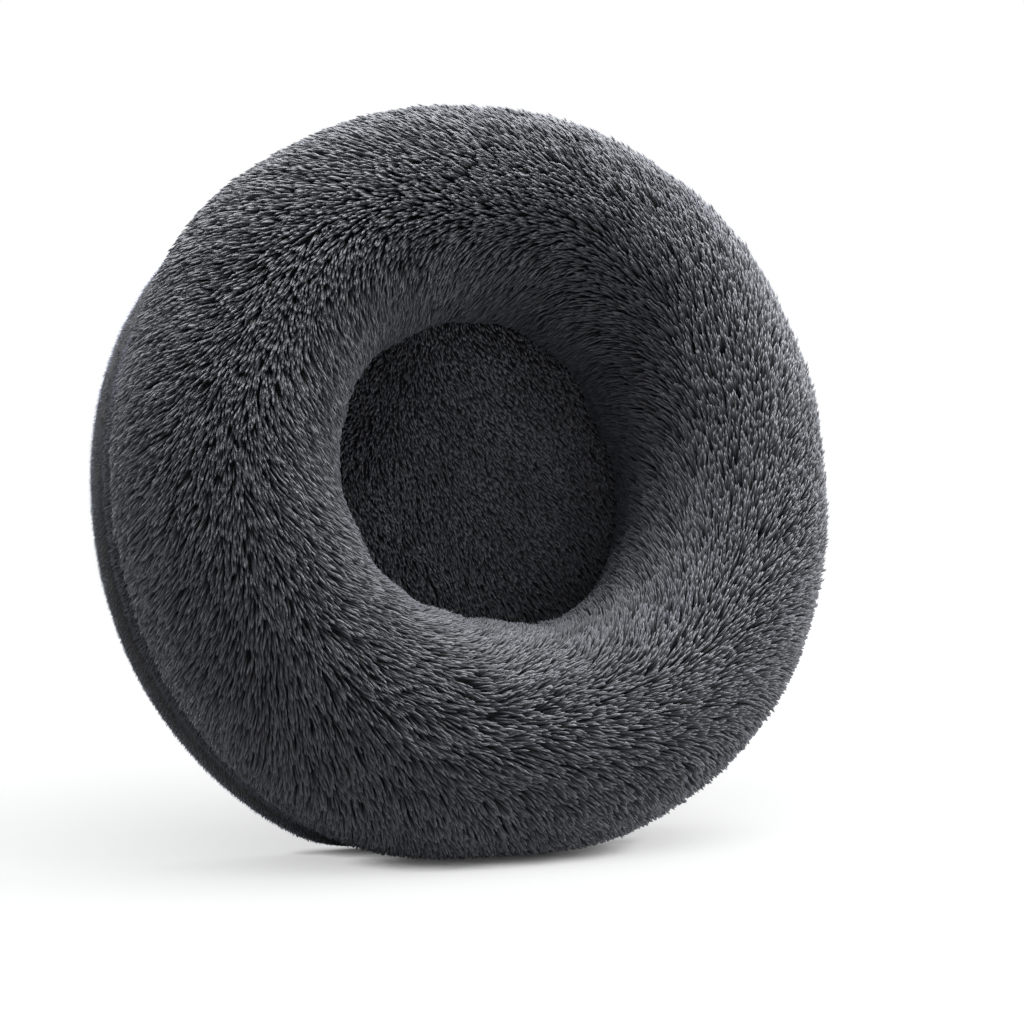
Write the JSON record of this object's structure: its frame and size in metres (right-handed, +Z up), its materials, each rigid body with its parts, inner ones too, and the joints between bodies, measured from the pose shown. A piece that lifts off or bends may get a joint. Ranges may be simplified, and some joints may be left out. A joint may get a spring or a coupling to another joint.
{
  "type": "bolster pet bed",
  "caption": "Round plush pet bed: a fat long-pile bolster ring round a short-pile sleeping well, on a low padded base with a zipped cover.",
  "frame": {"origin": "centre of the underside, on the surface that the bed lies on", "axes": "+Z up out of the sleeping well; +X towards the middle of the zip; the picture shows the bed stood on its -Y edge"},
  "size_m": [0.59, 0.59, 0.188],
  "materials": {
    "long_fur": "long-pile faux fur, charcoal grey",
    "short_plush": "short-pile plush, charcoal grey",
    "underside_cloth": "woven non-slip cloth with fine rubber dots",
    "binding_tape": "woven seam tape",
    "lining": "non-woven lining",
    "fibre_filling": "polyester fibre",
    "zip_tape": "woven zip tape",
    "zip_teeth": "moulded plastic teeth",
    "zip_metal": "dark enamelled zinc"
  },
  "bodies": {
    "bed": {"bolster_cover": "long_fur", "well_cover": "short_plush", "side_band": "short_plush", "rim_cover": "short_plush", "bottom_panel": "underside_cloth", "well_seam_binding": "binding_tape", "base_seam_binding": "binding_tape", "joining_strip": "binding_tape", "bolster_liner_top": "lining", "bolster_liner_bottom": "lining", "pad_casing_top": "lining", "pad_casing_bottom": "lining", "bolster_filling": "fibre_filling", "pad_filling": "fibre_filling", "rim_core": "fibre_filling", "zip_tape_upper": "zip_tape", "zip_tape_lower": "zip_tape", "zip_teeth_upper": "zip_teeth", "zip_teeth_lower": "zip_teeth", "zip_top_stop_upper": "zip_metal", "zip_top_stop_lower": "zip_metal", "zip_bottom_stop": "zip_metal"},
    "slider": {"zip_slider": "zip_metal"},
    "pull": {"zip_pull": "zip_metal"}
  },
  "joints": [
    {"name": "zip_run", "type": "hinge", "parent": "bed", "child": "slider", "pos_m": [0, 0, 0.049], "axis": [0, 0, 1], "range_deg": [0, 81.7], "deforming": ["zip_tape_upper", "zip_tape_lower", "zip_teeth_upper", "zip_teeth_lower"]},
    {"name": "pull_swing", "type": "hinge", "parent": "slider", "child": "pull", "pos_m": [0.21628, -0.18916, 0.049], "axis": [0, 0, -1], "range_deg": [0, 170]}
  ]
}
